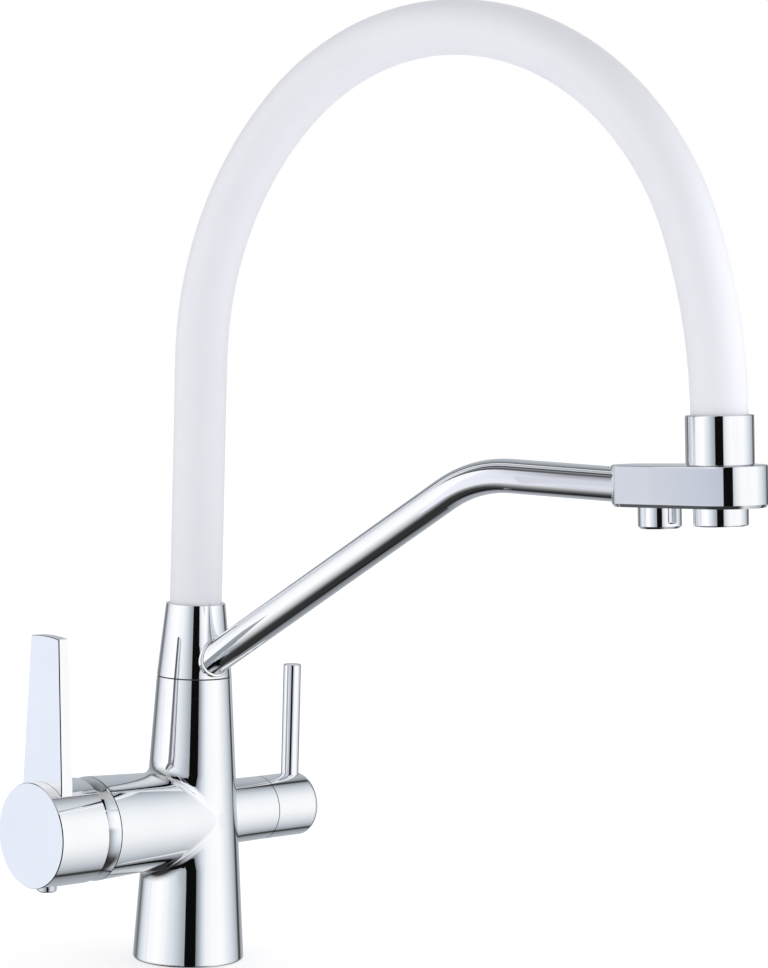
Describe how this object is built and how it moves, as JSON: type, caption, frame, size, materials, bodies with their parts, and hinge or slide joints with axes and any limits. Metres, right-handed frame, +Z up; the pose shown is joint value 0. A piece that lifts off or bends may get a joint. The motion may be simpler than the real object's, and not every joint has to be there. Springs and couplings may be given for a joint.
{
  "type": "kitchen faucet",
  "caption": "Deck-mounted kitchen faucet: conical column, side mixer lever, filtered-water tap, and a high hose arch held by a bent arm with a head for mixed and filtered water.",
  "frame": {"origin": "centre of the column's seat on the deck", "axes": "+Z up along the column axis, -X towards the mixer handle, +X towards the filter handle, user at -Y"},
  "size_m": [0.1594, 0.3137, 0.4313],
  "materials": {
    "chrome": "polished",
    "brass": "turned",
    "steel": "machined",
    "plastic": "moulded",
    "ceramic": "lapped",
    "rubber": "moulded",
    "hose": "satin white silicone",
    "plug": "gloss"
  },
  "bodies": {
    "column": {"column_body": "chrome", "base_gasket": "rubber", "swivel_post": "brass", "post_o_rings": "rubber", "post_clip": "steel", "slip_ring": "plastic", "cartridge_casing": "plastic", "cartridge_seals": "rubber", "ceramic_disc_fixed": "ceramic", "cartridge_nut": "brass", "dome_cover": "chrome", "filter_valve_body": "brass", "filter_valve_seal": "rubber", "filter_disc_fixed": "ceramic"},
    "turret": {"cartridge_turret": "plastic", "pivot_pin": "steel"},
    "disc": {"ceramic_disc_moving": "ceramic", "disc_carrier": "plastic"},
    "mixer_handle": {"lever_stem": "steel", "mixer_hub": "chrome", "mixer_blade": "chrome", "mixer_set_screw": "steel", "index_plug": "plug"},
    "filter_handle": {"filter_spindle": "brass", "filter_disc_moving": "ceramic", "filter_hub": "chrome", "filter_rod": "chrome", "filter_set_screw": "steel"},
    "spout": {"swivel_collar": "chrome", "spout_arm": "chrome", "head_block": "chrome", "hose_ferrule": "chrome", "hose_sleeve": "hose", "hose_liner": "plastic", "nipple_lower": "brass", "nipple_upper": "brass", "nipple_o_rings": "rubber", "aerator_housing": "chrome", "aerator_insert": "plastic", "aerator_washer": "rubber", "filter_nozzle": "chrome", "filter_nozzle_insert": "plastic", "filter_nozzle_washer": "rubber"}
  },
  "joints": [
    {"name": "spout_swivel", "type": "hinge", "parent": "column", "child": "spout", "pos_m": [0, 0, 0.129], "axis": [0, 0, 1], "continuous": true},
    {"name": "mixer_turn", "type": "hinge", "parent": "column", "child": "turret", "pos_m": [-0.052, 0, 0.0648], "axis": [1, 0, 0], "range_deg": [-45, 45]},
    {"name": "mixer_lift", "type": "hinge", "parent": "turret", "child": "mixer_handle", "pos_m": [-0.052, 0, 0.0648], "axis": [0, -1, 0], "range_deg": [0, 25]},
    {"name": "disc_slide", "type": "slide", "parent": "turret", "child": "disc", "axis": [0, 0, 1], "range_m": [0, 0.0034]},
    {"name": "filter_turn", "type": "hinge", "parent": "column", "child": "filter_handle", "pos_m": [0.05, 0, 0.0648], "axis": [1, 0, 0], "range_deg": [0, 90]}
  ],
  "couplings": [
    {"joint": "disc_slide", "follows": "mixer_lift", "m_per_rad": 0.00775}
  ]
}
